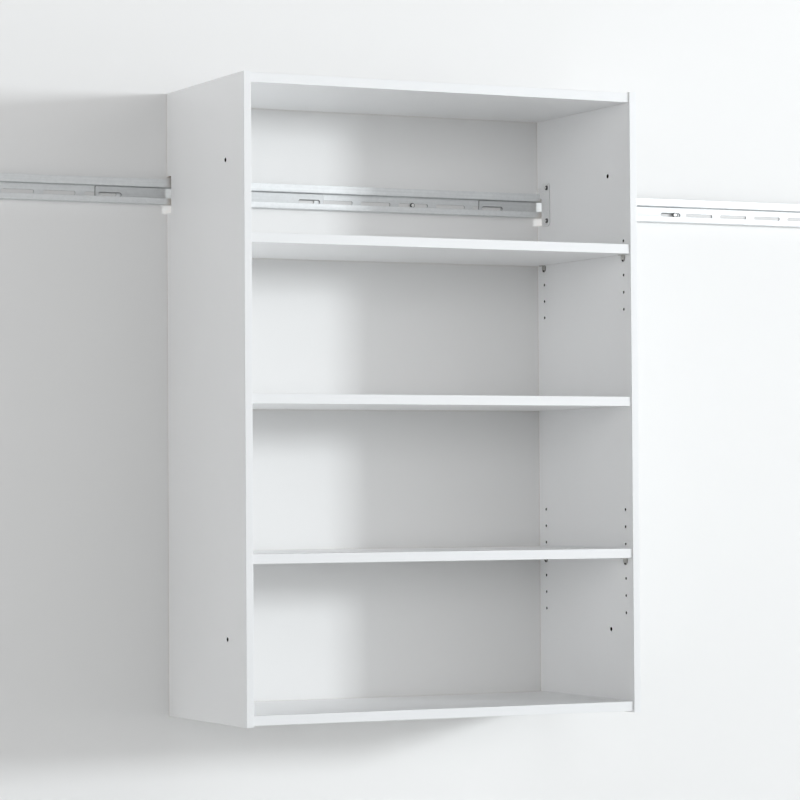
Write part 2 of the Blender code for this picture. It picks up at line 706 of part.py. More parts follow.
clear_scene()
closet = new_collection("wall_mounted_closet", bpy.context.scene.collection)
tools = new_collection("cutters", bpy.context.scene.collection)
tools.hide_render = True
hang_rail()
wall_screws()
for panel_side, panel_sign in SIDES.items():
    side_panel(panel_side, panel_sign)
    hook_bracket(panel_side, panel_sign)
for board_name, (board_underside, board_cam_face) in FIXED_BOARDS.items():
    fixed_board(board_name, board_underside, board_cam_face)
adjustable_shelf("upper", UPPER_HOLES_PIN)
adjustable_shelf("lower", LOWER_HOLES_MIDDLE)
shade_round_pieces()
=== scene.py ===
import math

import bmesh
import bpy
from bmesh.types import BMEdge, BMFace, BMVert
from mathutils import Matrix, Vector


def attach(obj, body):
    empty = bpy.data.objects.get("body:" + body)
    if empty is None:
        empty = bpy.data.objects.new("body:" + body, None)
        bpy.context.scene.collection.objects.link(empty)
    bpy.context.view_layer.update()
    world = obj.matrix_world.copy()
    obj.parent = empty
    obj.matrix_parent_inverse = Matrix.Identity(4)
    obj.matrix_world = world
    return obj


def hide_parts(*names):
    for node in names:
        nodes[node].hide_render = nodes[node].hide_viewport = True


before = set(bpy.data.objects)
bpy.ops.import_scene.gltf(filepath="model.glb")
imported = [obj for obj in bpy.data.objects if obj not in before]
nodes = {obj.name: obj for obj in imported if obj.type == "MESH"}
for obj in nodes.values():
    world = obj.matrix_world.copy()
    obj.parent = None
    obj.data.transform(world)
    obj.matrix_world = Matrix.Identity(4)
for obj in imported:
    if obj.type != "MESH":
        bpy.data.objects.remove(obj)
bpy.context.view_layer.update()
mm = 0.001
nearly = 1e-6  # metres: places closer than this are one place
square = 0.99  # a face whose normal has more than this along an axis lies square to it
usual = (0.3, 0.7)  # where most of a noise's values lie
print("frame loaded:", len(nodes), "nodes")


# Camera, at the photograph's viewpoint

camera = {
    "place": (-2.63852, -5.58786, -0.56348),
    "yaw": 25.952,  # degrees towards +X
    "pitch": 1.657,
    "roll": -0.356,
    "lens": 146.02,
    "film": 36,
}


def makeCamera(settings):
    yaw = math.radians(settings["yaw"])
    pitch = math.radians(settings["pitch"])
    ahead = Vector((math.sin(yaw) * math.cos(pitch), math.cos(yaw) * math.cos(pitch), math.sin(pitch)))
    level = Vector((math.cos(yaw), -math.sin(yaw), 0))
    turn = Matrix((level, level.cross(ahead), -ahead)).transposed()
    turn = turn @ Matrix.Rotation(math.radians(settings["roll"]), 3, "Z")
    data = bpy.data.cameras.new("photoCamera")
    data.lens = settings["lens"]
    data.sensor_width = settings["film"]
    seen = bpy.data.objects.new("photoCamera", data)
    seen.matrix_world = Matrix.Translation(settings["place"]) @ turn.to_4x4()
    bpy.context.scene.collection.objects.link(seen)
    bpy.context.scene.camera = seen


makeCamera(camera)
print("camera set")


# Shader helpers

class Wire:
    # one output of a shader node: sums on it add Math nodes
    def __init__(self, finish, socket):
        self.finish = finish
        self.socket = socket

    def maths(self, operation, first, second):
        return self.finish.maths(operation, first, second)

    def __add__(self, other):
        return self.maths("ADD", self, other)

    def __radd__(self, other):
        return self.maths("ADD", other, self)

    def __sub__(self, other):
        return self.maths("SUBTRACT", self, other)

    def __rsub__(self, other):
        return self.maths("SUBTRACT", other, self)

    def __mul__(self, other):
        return self.maths("MULTIPLY", self, other)

    def __rmul__(self, other):
        return self.maths("MULTIPLY", other, self)

    def __gt__(self, other):
        return self.maths("GREATER_THAN", self, other)

    def __lt__(self, other):
        return self.maths("LESS_THAN", self, other)


class Finish:
    # a material, or the world, while its nodes are being laid
    def __init__(self, owner):
        self.owner = owner
        owner.use_nodes = True
        self.tree = owner.node_tree
        self.shader = self.tree.nodes.get("Principled BSDF")
        self.laid = 0

    def node(self, kind, settings=None, inputs=None, output=0):
        made = self.tree.nodes.new(kind)
        # laid out in columns of four, from right to left
        made.location = (-220 * (1 + self.laid // 4), 500 - 240 * (self.laid % 4))
        self.laid += 1
        for name, value in (settings or {}).items():
            if name == "stops":
                self.setStops(made.color_ramp, value)
            else:
                setattr(made, name, value)
        for name, value in (inputs or {}).items():
            if isinstance(value, Wire):
                self.tree.links.new(value.socket, made.inputs[name])
            else:
                made.inputs[name].default_value = value
        return Wire(self, made.outputs[output])

    def maths(self, operation, first, second):
        return self.node("ShaderNodeMath", {"operation": operation}, {0: first, 1: second})

    def setStops(self, ramp, stops):
        while len(ramp.elements) < len(stops):
            ramp.elements.new(1)
        for element, (place, shade) in zip(ramp.elements, stops):
            element.position = place
            element.color = (*shade, 1)

    def feed(self, **wires):
        for name, wire in wires.items():
            self.tree.links.new(wire.socket, self.shader.inputs[name.replace("_", " ")])

    def place(self, stretch=(1, 1, 1)):
        # object coordinates in metres, stretched
        here = self.node("ShaderNodeTexCoord", output=3)
        return self.node("ShaderNodeMapping", inputs={"Vector": here, "Scale": stretch})

    def axes(self):
        # the same coordinates, as three separate values
        here = self.node("ShaderNodeTexCoord", output=3)
        split = self.node("ShaderNodeSeparateXYZ", inputs={0: here})
        sockets = split.socket.node.outputs
        return [Wire(self, sockets[name]) for name in ("X", "Y", "Z")]

    def noise(self, vector, scale, detail=2, rough=0.5):
        values = {"Vector": vector, "Scale": scale, "Detail": detail, "Roughness": rough}
        return self.node("ShaderNodeTexNoise", inputs=values)

    def ramp(self, factor, stops):
        return self.node("ShaderNodeValToRGB", {"stops": stops}, {0: factor})

    def chips(self, vector, size, output=0):
        # cells of the given size in mm: how far from each one's middle, or (output 1) its own colour
        values = {"Vector": vector, "Scale": 1 / (size * mm), "Randomness": 1.0}
        return self.node("ShaderNodeTexVoronoi", {"feature": "F1"}, values, output)

    def shadeOf(self, colour):
        return self.node("ShaderNodeSeparateColor", inputs={0: colour})

    def mix(self, factor, first, second, way="MIX"):
        # the node's colour inputs are 6 and 7, and its colour output is 2
        values = {0: factor, 6: first, 7: second}
        return self.node("ShaderNodeMix", {"data_type": "RGBA", "blend_type": way}, values, 2)

    def span(self, value, low, high, bottom=0, top=1):
        # value from low..high laid over bottom..top, held at the ends
        values = {0: value, 1: low, 2: high, 3: bottom, 4: top}
        return self.node("ShaderNodeMapRange", {"interpolation_type": "SMOOTHSTEP"}, values)

    def bump(self, height, strength, depth):
        values = {"Height": height, "Strength": strength, "Distance": depth * mm}
        return self.node("ShaderNodeBump", inputs=values)


def newFinish(name, **values):
    finish = Finish(bpy.data.materials.new(name))
    for label, value in values.items():
        finish.shader.inputs[label.replace("_", " ")].default_value = value
    return finish


# White melamine on chipboard

melamine = {
    "face": (0.945, 0.950, 0.955),
    "faceShade": (0.930, 0.935, 0.940),
    "band": (0.740, 0.752, 0.764),
    "seam": (0.80, 0.79, 0.77),
    "gloss": 0.42,
    "pearlSize": 0.9,  # mm, the fine grain pressed into the foil
    "pearlShade": 0.985,
    "pearlRough": (0.33, 0.42),
    "pearlHeight": 0.05,
    "driftScale": 5,
    "driftRange": (0.35, 0.65),
    "seamBehind": 0.9,  # mm behind the front edge, where the edge band ends
    "seamWidth": 0.16,
    "rawRear": 0.25,  # mm of bare chipboard at the rear edge
    "rawRough": 0.45,  # more than the foil's
    "bump": (0.4, 0.3),  # strength, and depth in mm
}

core = {
    "tones": ((0.05, (0.20, 0.13, 0.08)), (0.45, (0.46, 0.34, 0.22)), (0.85, (0.70, 0.56, 0.38))),
    "gloss": 0.15,
    "rough": (0.95, 0.8),
    "flat": (1, 1, 1.6),  # the chips lie flat
    "chip": 2.4,  # mm
    "chipShare": 0.6,
    "gapShare": 0.25,
    "dust": 0.35,  # mm
    "dustShare": 0.5,
    "bump": (0.8, 0.5),
}


def coreTone(finish, settings):
    here = finish.place(settings["flat"])
    gaps = finish.chips(here, settings["chip"])
    shade = finish.shadeOf(finish.chips(here, settings["chip"], 1))
    dust = finish.noise(here, 1 / (settings["dust"] * mm), detail=3, rough=0.7)
    height = shade * settings["chipShare"] + dust * settings["dustShare"] - gaps * settings["gapShare"]
    return finish.ramp(height, settings["tones"]), height


def chipboardFinish(name, settings, level):
    finish = newFinish(name, Specular_IOR_Level=settings["gloss"] * level)
    tone, height = coreTone(finish, settings)
    tone = finish.mix(1.0, tone, (level, level, level, 1), "MULTIPLY")
    finish.feed(Base_Color=tone, Roughness=finish.span(height, 0, 1, *settings["rough"]))
    finish.feed(Normal=finish.bump(height, *settings["bump"]))
    return finish.owner


def melamineFinish(name, settings, node):
    # the band's seam and the raw rear edge lie along the node's front and rear
    depths = [vert.co.y for vert in node.data.vertices]
    finish = newFinish(name, Specular_IOR_Level=settings["gloss"])
    here = finish.place()
    depth = finish.axes()[1]
    pearl = finish.noise(here, 1 / (settings["pearlSize"] * mm), detail=3, rough=0.6)
    drift = finish.span(finish.noise(here, settings["driftScale"]), *settings["driftRange"])
    tone = finish.mix(drift, (*settings["face"], 1), (*settings["faceShade"], 1))
    behind = depth - (min(depths) + settings["seamBehind"] * mm)
    tone = finish.mix(behind < 0, tone, (*settings["band"], 1))
    seam = finish.maths("ABSOLUTE", behind, 0) < settings["seamWidth"] / 2 * mm
    tone = finish.mix(seam, tone, (*settings["seam"], 1))
    tone = finish.mix(1.0, tone, finish.span(pearl, *usual, settings["pearlShade"], 1.0), "MULTIPLY")
    raw = depth > max(depths) - settings["rawRear"] * mm
    bare, height = coreTone(finish, core)
    rough = finish.span(pearl, *usual, *settings["pearlRough"]) + raw * settings["rawRough"]
    finish.feed(Base_Color=finish.mix(raw, tone, bare), Roughness=rough)
    level = pearl * settings["pearlHeight"] + raw * height
    finish.feed(Normal=finish.bump(level, *settings["bump"]))
    return finish.owner


panelMelamine = melamineFinish("panelMelamine", melamine, nodes["side_panel_left"])
boardMelamine = melamineFinish("boardMelamine", melamine, nodes["middle_shelf"])
chipboard = chipboardFinish("chipboardCore", core, 1.0)
paintedBoreShade = chipboardFinish("paintedBoreShade", core, 0.03)  # painted shade: the bores' walls darkened to near black, for the shade deep in them


# Steel, zinc and nickel

galvanised = {
    "colour": (0.735, 0.755, 0.765),
    "dull": (0.675, 0.695, 0.705),
    "metallic": 0.5,
    "spangle": 5.0,  # mm across
    "spangleShade": 0.955,
    "rough": (0.46, 0.56),
    "roughRange": (0.25, 0.75),
    "streak": (3, 300, 300),  # rolled along X
    "bump": (0.08, 0.1),
    "sleeveShare": 0.87,  # of the rail's brightness
}


def galvanisedFinish(name, settings, level):
    finish = newFinish(name, Metallic=settings["metallic"])
    shade = finish.shadeOf(finish.chips(finish.place(), settings["spangle"], 1))
    streaks = finish.noise(finish.place(settings["streak"]), 1, detail=3)
    tone = finish.mix(finish.span(streaks, *usual), (*settings["dull"], 1), (*settings["colour"], 1))
    shade = finish.span(shade, 0, 1, settings["spangleShade"] * level, level)
    finish.feed(Base_Color=finish.mix(1.0, tone, shade, "MULTIPLY"))
    finish.feed(Roughness=finish.span(streaks, *settings["roughRange"], *settings["rough"]))
    finish.feed(Normal=finish.bump(streaks, *settings["bump"]))
    return finish.owner


galvanisedSteel = galvanisedFinish("galvanisedSteel", galvanised, 1.0)
sleeveSteel = galvanisedFinish("sleeveSteel", galvanised, galvanised["sleeveShare"])

plated = {  # colour, metallic, roughness
    # the rail's cut edges: somewhat darker bare steel, and painted near black besides as painted shade at
    # the slots' ends and edges
    "railCut": ((0.12, 0.123, 0.126), 0.6, 0.5),
    # the sleeve's sloping cut walls: painted shade, a dark line along the slots' tops and ends and the
    # sleeve's ends
    "sleeveCut": ((0.33, 0.335, 0.34), 0.0, 0.5),
    "zincPlate": ((0.92, 0.925, 0.925), 0.2, 0.50),
    # the bracket's rim faces, darker than its face: painted shade along the plate's outline
    "zincEdge": ((0.70, 0.705, 0.705), 0.5, 0.50),
    "screwZinc": ((0.90, 0.90, 0.89), 0.55, 0.34),
    "nickelPlate": ((0.66, 0.65, 0.62), 1.0, 0.22),
    # the pins' rim faces, much darker than the plate: painted shade along the pin's outline
    "nickelEdge": ((0.26, 0.25, 0.23), 1.0, 0.30),
    # the screws' flank and shank, near black: painted shade round the heads
    "screwFlank": ((0.10, 0.10, 0.10), 1.0, 0.40),
    "castZinc": ((0.62, 0.63, 0.64), 1.0, 0.40),
}

plating = {"grain": 900, "dark": 0.9, "roughDrift": 0.06, "bump": (0.1, 0.05)}


def platedFinish(name, settings, colour, metallic, roughness):
    finish = newFinish(name, Metallic=metallic)
    grain = finish.noise(finish.place(), settings["grain"], detail=3)
    dark = tuple(settings["dark"] * part for part in colour)
    finish.feed(Base_Color=finish.mix(finish.span(grain, *usual), (*dark, 1), (*colour, 1)))
    drift = settings["roughDrift"]
    finish.feed(Roughness=finish.span(grain, *usual, roughness - drift, roughness + drift))
    finish.feed(Normal=finish.bump(grain, *settings["bump"]))
    return finish.owner


platedMetals = {name: platedFinish(name, plating, *values) for name, values in plated.items()}
print("finishes made")


# Making pieces

def newPiece(name, bm, materials, body, slot, *replaced):
    bmesh.ops.remove_doubles(bm, verts=bm.verts, dist=nearly)
    mesh = bpy.data.meshes.new(name)
    bm.to_mesh(mesh)
    bm.free()
    for material in materials:
        mesh.materials.append(material)
    piece = bpy.data.objects.new(name, mesh)
    bpy.context.scene.collection.objects.link(piece)
    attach(piece, body)
    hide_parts(*replaced)
    return piece


def smoothOver(piece, degrees):
    # facets that meet under this angle are shaded as one surface
    piece.data.shade_smooth()
    piece.data.set_sharp_from_angle(angle=math.radians(degrees))


def easeEdges(piece, width, segments=2, degrees=40):
    ease = piece.modifiers.new("easedEdges", "BEVEL")
    ease.width = width * mm
    ease.segments = segments
    ease.limit_method = "ANGLE"
    ease.angle_limit = math.radians(degrees)
    ease.harden_normals = True


def giveSheet(piece, thickness):
    # thickens behind the faces; the cut edges take the piece's second finish
    sheet = piece.modifiers.new("sheet", "SOLIDIFY")
    sheet.thickness = thickness * mm
    sheet.offset = -1
    sheet.use_even_offset = True
    sheet.material_offset_rim = 1


def evenNormals(piece):
    evened = piece.modifiers.new("evenNormals", "WEIGHTED_NORMAL")
    evened.keep_sharp = True


def only(kind, items):
    return [item for item in items if isinstance(item, kind)]


def isAt(edge, axis, place):
    return all(abs(vert.co[axis] - place * mm) < nearly for vert in edge.verts)


def push(bm, edges, shift, scale=None):
    # draws edges out into faces, then moves and scales the new ends
    made = bmesh.ops.extrude_edge_only(bm, edges=edges)
    verts = only(BMVert, made["geom"])
    if scale:
        centre = sum((vert.co for vert in verts), Vector()) / len(verts)
        bmesh.ops.scale(bm, vec=scale, verts=verts, space=Matrix.Translation(-centre))
    bmesh.ops.translate(bm, vec=Vector(shift) * mm, verts=verts)
    return only(BMEdge, made["geom"])


def outline(bm, corners, lay):
    # in an empty mesh: a closed loop through (corner, radius) pairs, put in place by lay
    verts = [bm.verts.new(lay(*corner)) for corner, radius in corners]
    bm.faces.new(verts)
    for vert, (corner, radius) in zip(verts, corners):
        if radius:
            bmesh.ops.bevel(
                bm, geom=[vert], offset=radius * mm, offset_type="OFFSET", affect="VERTICES",
                segments=5, profile=0.5, material=-1)
    bmesh.ops.delete(bm, geom=bm.faces[:], context="FACES_ONLY")
    return bm.edges[:]


def ring(bm, radius, segments, matrix, halfRun=0):
    # a circle of edges, drawn out along its own X into a slot
    made = bmesh.ops.create_circle(
        bm, cap_ends=False, segments=segments, radius=radius * mm,
        matrix=Matrix.Rotation(math.pi / segments, 4, "Z"))
    for vert in made["verts"]:
        vert.co.x += math.copysign(halfRun * mm, vert.co.x)
    bmesh.ops.transform(bm, matrix=matrix, verts=made["verts"])
    return list({edge for vert in made["verts"] for edge in vert.link_edges})


def fillBetween(bm, edges, facing):
    made = bmesh.ops.triangle_fill(bm, use_beauty=True, edges=edges, normal=facing)
    for face in only(BMFace, made["geom"]):
        if face.normal.dot(Vector(facing)) < 0:
            face.normal_flip()


def towardsSide(spot):
    # stands what is drawn flat upright at the spot, square to X
    return Matrix.Translation(spot) @ Matrix.Rotation(math.pi / 2, 4, "Y")


towardsRoom = Matrix.Rotation(math.pi / 2, 4, "X")


# Side panels

panel = {
    "inner": 383.0, "thickness": 14.0, "front": -363.0, "low": -970.5, "high": 181.5,
    "notchDepth": 21.0, "notchLow": -41.0, "notchHigh": 27.0, "notchCorner": 3.0,
    "bandRound": 0.5, "smooth": 35,
    "margin": 1.0,  # mm, for telling the faces of the rim from the cut ones
    "linkRadius": 4.0, "linkSteps": 32, "linkPlace": -279.0, "linkHeights": (-819.3, 31.9),
    # blind bores: radius, depth, sides, and their places forward and up
    "pinBores": (
        2.65, 11.0, 32, (-336.0, -27.0),
        [-691.2 + 32 * k for k in range(-3, 4)] + [-126.0 + 32 * k for k in range(-3, 2)]),
    "screwBores": (2.6, 10.8, 20, (-43.5,), (-33.5, 30.5)),
    "boltBores": (2.6, 9.8, 20, (-303.0, -63.0), (-958.9, -394.5, 171.3)),
    "drillPoint": 0.8,  # mm deeper than the bore, and drawn in to this share of it
    "drillTip": 0.05,
}


def sidePanel(side, sign, settings):
    bm = bmesh.new()
    inner = sign * settings["inner"]
    lay = lambda y, z: Vector((inner, y, z)) * mm
    front, low, high = settings["front"], settings["low"], settings["high"]
    back, notchLow, notchHigh = -settings["notchDepth"], settings["notchLow"], settings["notchHigh"]
    corner = settings["notchCorner"]
    rim = outline(bm, [
        ((front, low), 0), ((0, low), 0), ((0, notchLow), 0), ((back, notchLow), corner),
        ((back, notchHigh), corner), ((0, notchHigh), 0), ((0, high), 0), ((front, high), 0)], lay)
    holes = []
    for z in settings["linkHeights"]:
        middle = towardsSide(lay(settings["linkPlace"], z))
        holes += ring(bm, settings["linkRadius"], settings["linkSteps"], middle)
    blind = []
    for kind in ("pinBores", "screwBores", "boltBores"):
        radius, depth, steps, columns, heights = settings[kind]
        for y in columns:
            for z in heights:
                blind.append((ring(bm, radius, steps, towardsSide(lay(y, z))), depth))
    mouths = [edge for loop, depth in blind for edge in loop]
    fillBetween(bm, rim + holes + mouths, (-sign, 0, 0))
    fillBetween(bm, push(bm, rim + holes, (sign * settings["thickness"], 0, 0)), (sign, 0, 0))
    tip = settings["drillTip"]
    for loop, depth in blind:
        floor = push(bm, loop, (sign * depth, 0, 0))
        push(bm, floor, (sign * settings["drillPoint"], 0, 0), (1, tip, tip))
    fronts = [
        edge for edge in bm.edges
        if isAt(edge, 1, front) and abs(edge.verts[0].co.z - edge.verts[1].co.z) > (high - low) / 2 * mm]
    bmesh.ops.bevel(
        bm, geom=fronts, offset=settings["bandRound"] * mm, offset_type="OFFSET", affect="EDGES",
        segments=4, profile=0.5, material=-1)
    bmesh.ops.recalc_face_normals(bm, faces=bm.faces)
    margin = settings["margin"]
    for face in bm.faces:
        # melamine outside, chipboard in the notch, and painted shade, near black, on the bores' walls
        middle = face.calc_center_median() / mm
        onRim = middle.y < front + margin or not low + margin < middle.z < high - margin
        if abs(face.normal.x) < square and not onRim:
            face.material_index = 2 if middle.y < back - margin else 1
    materials = [panelMelamine, chipboard, paintedBoreShade]
    piece = newPiece("sidePanel." + side, bm, materials, "tower", "white_board", "side_panel_" + side)
    smoothOver(piece, settings["smooth"])
    evenNormals(piece)


# Hang rail, roll-formed and slotted

rail = {
    "sheet": 1.6, "web": -1.6, "floor": -23.9, "step": 5.7, "lipFront": -13.5, "lipTop": 21.0,
    "gutterLip": -11.9, "gutterTop": -14.0, "innerBend": 0.6, "outerBend": 2.2,
    "innerSteps": 3, "outerSteps": 6,
    "slotPitch": 80.0, "slotLength": 62.0, "slotWidth": 7.0, "slotHeight": -9.5, "slotSteps": 28,
    "sections": {"left": (-809, -329), "centre": (-329, 471), "right": (471, 1031)},
    "endGap": 0.5, "deburr": 0.2, "smooth": 30,
}


def bend(bm, edges, centre, axis, degrees, steps):
    made = bmesh.ops.spin(
        bm, geom=edges, cent=Vector(centre) * mm, axis=axis, angle=math.radians(degrees), steps=steps,
        use_duplicate=False)
    return only(BMEdge, made["geom_last"])


def slotRing(bm, place, length, width, steps):
    spot = Matrix.Translation(Vector(place) * mm) @ towardsRoom
    return ring(bm, width / 2, steps, spot, (length - width) / 2)


def railSection(name, start, end, settings):
    bm = bmesh.new()
    web, floor, step = settings["web"], settings["floor"], settings["step"]
    gutter, lipFront = settings["gutterLip"], settings["lipFront"]
    small, large = settings["innerBend"], settings["outerBend"]
    x0, x1 = start + settings["endGap"], end - settings["endGap"]
    low, high = floor + small, step - small
    lay = lambda x, z: Vector((x, web, z)) * mm
    rim = outline(bm, [((x, z), 0) for x, z in ((x0, low), (x1, low), (x1, high), (x0, high))], lay)
    slots = []
    for k in range(round((end - start) / settings["slotPitch"])):
        place = (start + settings["slotPitch"] * (k + 0.5), web, settings["slotHeight"])
        slots += slotRing(bm, place, settings["slotLength"], settings["slotWidth"], settings["slotSteps"])
    bottom = [edge for edge in rim if isAt(edge, 2, low)]
    top = [edge for edge in rim if isAt(edge, 2, high)]
    fillBetween(bm, rim + slots, (0, -1, 0))
    # the gutter, below and forward of the web
    edge = bend(bm, bottom, (0, web - small, low), (1, 0, 0), -90, settings["innerSteps"])
    edge = push(bm, edge, (0, gutter - web + 2 * small, 0))
    edge = bend(bm, edge, (0, gutter + small, low), (1, 0, 0), -90, settings["innerSteps"])
    push(bm, edge, (0, 0, settings["gutterTop"] - floor - small))
    # the step forward, and the hooking lip up from it
    edge = bend(bm, top, (0, web - small, high), (1, 0, 0), 90, settings["innerSteps"])
    edge = push(bm, edge, (0, lipFront - web + small + large, 0))
    edge = bend(bm, edge, (0, lipFront + large, step + large), (1, 0, 0), -90, settings["outerSteps"])
    push(bm, edge, (0, 0, settings["lipTop"] - step - large))
    bmesh.ops.recalc_face_normals(bm, faces=bm.faces)
    lip = max(bm.faces, key=lambda face: face.calc_center_median().z)
    if lip.normal.y > 0:  # the sheet thickens behind the faces drawn here
        bmesh.ops.reverse_faces(bm, faces=bm.faces)
    # the cut edges take the dark finish: partly darker bare steel, mostly painted shade along the slots
    materials = [galvanisedSteel, platedMetals["railCut"]]
    piece = newPiece("railSection." + name, bm, materials, "rail", "rail_steel", "rail_section_" + name)
    giveSheet(piece, settings["sheet"])
    easeEdges(piece, settings["deburr"])
    smoothOver(piece, settings["smooth"])


sleeve = {
    "thickness": 2.0, "front": -3.9, "low": -23.6, "high": 5.1, "corner": 2.5, "deburr": 0.25, "smooth": 30,
    "slotLength": 45.0, "slotWidth": 8.0, "slotIn": 30.1, "slotHeight": -9.5, "slotSteps": 28,
    "slotTaper": 1.9,  # the slots narrow to the rear, so their sloping walls face the room and show the dark cut finish as painted shade
    "endTaper": 1.6,  # and the ends and the top slope the same way, painted shade too
    "topTaper": 0.2,
    "spans": {"left": (-541, -79), "right": (251.5, 713.5)},
}


def joinerSleeve(name, start, end, settings):
    # drawn at its front and pushed to the rear, where it is wider and its slots narrower
    bm = bmesh.new()
    front, low, high, corner = (settings[key] for key in ("front", "low", "high", "corner"))
    x0, x1, top = start + settings["endTaper"], end - settings["endTaper"], high - settings["topTaper"]
    lay = lambda x, z: Vector((x, front, z)) * mm
    rim = outline(bm, [((x, z), corner) for x, z in ((x0, low), (x1, low), (x1, top), (x0, top))], lay)
    long, wide, taper = settings["slotLength"], settings["slotWidth"], settings["slotTaper"]
    slots = [
        slotRing(bm, (x, front, settings["slotHeight"]), long, wide, settings["slotSteps"])
        for x in (start + settings["slotIn"], end - settings["slotIn"])]
    fillBetween(bm, rim + slots[0] + slots[1], (0, -1, 0))
    thick = settings["thickness"]
    wider = ((end - start) / (x1 - x0), 1, (high - low) / (top - low))
    rear = push(bm, rim, (0, thick, (high - top) / 2), wider)
    for slot in slots:
        rear += push(bm, slot, (0, thick, -taper / 2), (1 - taper / long, 1, 1 - taper / wide))
    fillBetween(bm, rear, (0, 1, 0))
    bmesh.ops.recalc_face_normals(bm, faces=bm.faces)
    # faces that do not face the room take the dark cut finish: painted shade
    for face in bm.faces:
        face.material_index = 0 if abs(face.normal.y) > square else 1
    materials = [sleeveSteel, platedMetals["sleeveCut"]]
    replaced = "joiner_sleeve_" + name
    piece = newPiece("joinerSleeve." + name, bm, materials, "rail", "sleeve_steel", replaced)
    easeEdges(piece, settings["deburr"])
    smoothOver(piece, settings["smooth"])


for name, (start, end) in rail["sections"].items():
    railSection(name, start, end, rail)
for name, (start, end) in sleeve["spans"].items():
    joinerSleeve(name, start, end, sleeve)
print("hang rail and sleeves made")


# Hook brackets

bracket = {
    "face": 380.7, "thickness": 2.0, "front": -52.5, "back": -21.5, "low": -44.5, "high": 40.0,
    "cheekLow": 10.5, "hookHigh": 32.5, "tongueBack": -4.5, "tongueLow": 10.0,
    "lipFront": -14.1, "lipBack": -11.3, "lipTop": 21.3,
    "corner": 9.0, "rearCorner": 5.0, "stepCorner": 1.5, "tongueCorner": 3.0,
    "holeRadius": 2.6, "holeSteps": 24, "holePlace": -43.5, "holeHeights": (-33.5, 30.5),
    "eased": 0.3, "smooth": 30,
}


def hookBracket(side, sign, settings):
    bm = bmesh.new()
    lay = lambda y, z: Vector((sign * settings["face"], y, z)) * mm
    # round from the lower front corner, along the hook's underside and back over its top
    corners = [((settings[y], settings[z]), settings[radius] if radius else 0) for y, z, radius in (
        ("front", "low", "corner"), ("back", "low", "corner"),
        ("back", "cheekLow", "stepCorner"), ("lipFront", "cheekLow", "stepCorner"),
        ("lipFront", "lipTop", None), ("lipBack", "lipTop", None),
        ("lipBack", "tongueLow", "stepCorner"), ("tongueBack", "tongueLow", "tongueCorner"),
        ("tongueBack", "hookHigh", "rearCorner"), ("back", "hookHigh", "stepCorner"),
        ("back", "high", "rearCorner"), ("front", "high", "corner"))]
    rim = outline(bm, corners, lay)
    for z in settings["holeHeights"]:
        middle = towardsSide(lay(settings["holePlace"], z))
        rim += ring(bm, settings["holeRadius"], settings["holeSteps"], middle)
    fillBetween(bm, rim, (-sign, 0, 0))
    # the rim takes the darker edge finish: painted shade along the plate's outline
    materials = [platedMetals["zincPlate"], platedMetals["zincEdge"]]
    replaced = "hook_bracket_" + side
    piece = newPiece("hookBracket." + side, bm, materials, "tower", "bracket_steel", replaced)
    giveSheet(piece, settings["thickness"])
    easeEdges(piece, settings["eased"])
    smoothOver(piece, settings["smooth"])


# Cross-head screws

screws = {
    # the share of the head's radius past which it is painted near black, as painted shade round its rim
    "wall": {"shank": 2.4, "head": 4.7, "height": 2.6, "shadeRing": 0.66},
    "bracket": {"shank": 2.3, "head": 4.5, "height": 2.6, "shadeRing": 0.54, "length": 13.1, "turned": 28},
    "steps": 40, "smooth": 32,
    # the head's profile, as shares of its radius and height, from the flat crown out
    "crown": (0.53, 1), "profile": ((0.66, 0.97), (0.82, 0.88), (0.94, 0.66), (1, 0.36), (1, 0)),
    "point": 0.3,  # of the shank's radius
    "pointLength": 1.5,  # times the shank's radius
    "crossWidth": 1.2, "crossReach": 4.4, "crossDepth": 1.5, "crossFloor": 0.55,  # of its mouth
    "seat": 0.3,  # mm in front of the bracket
    # along the rail, and how far in front of the wall each head sits
    "wallPlaces": {
        "left_end": (-749, 1.9), "centre": (109, 1.9), "right": (692, 4.2), "right_end": (1011, 1.9)},
}


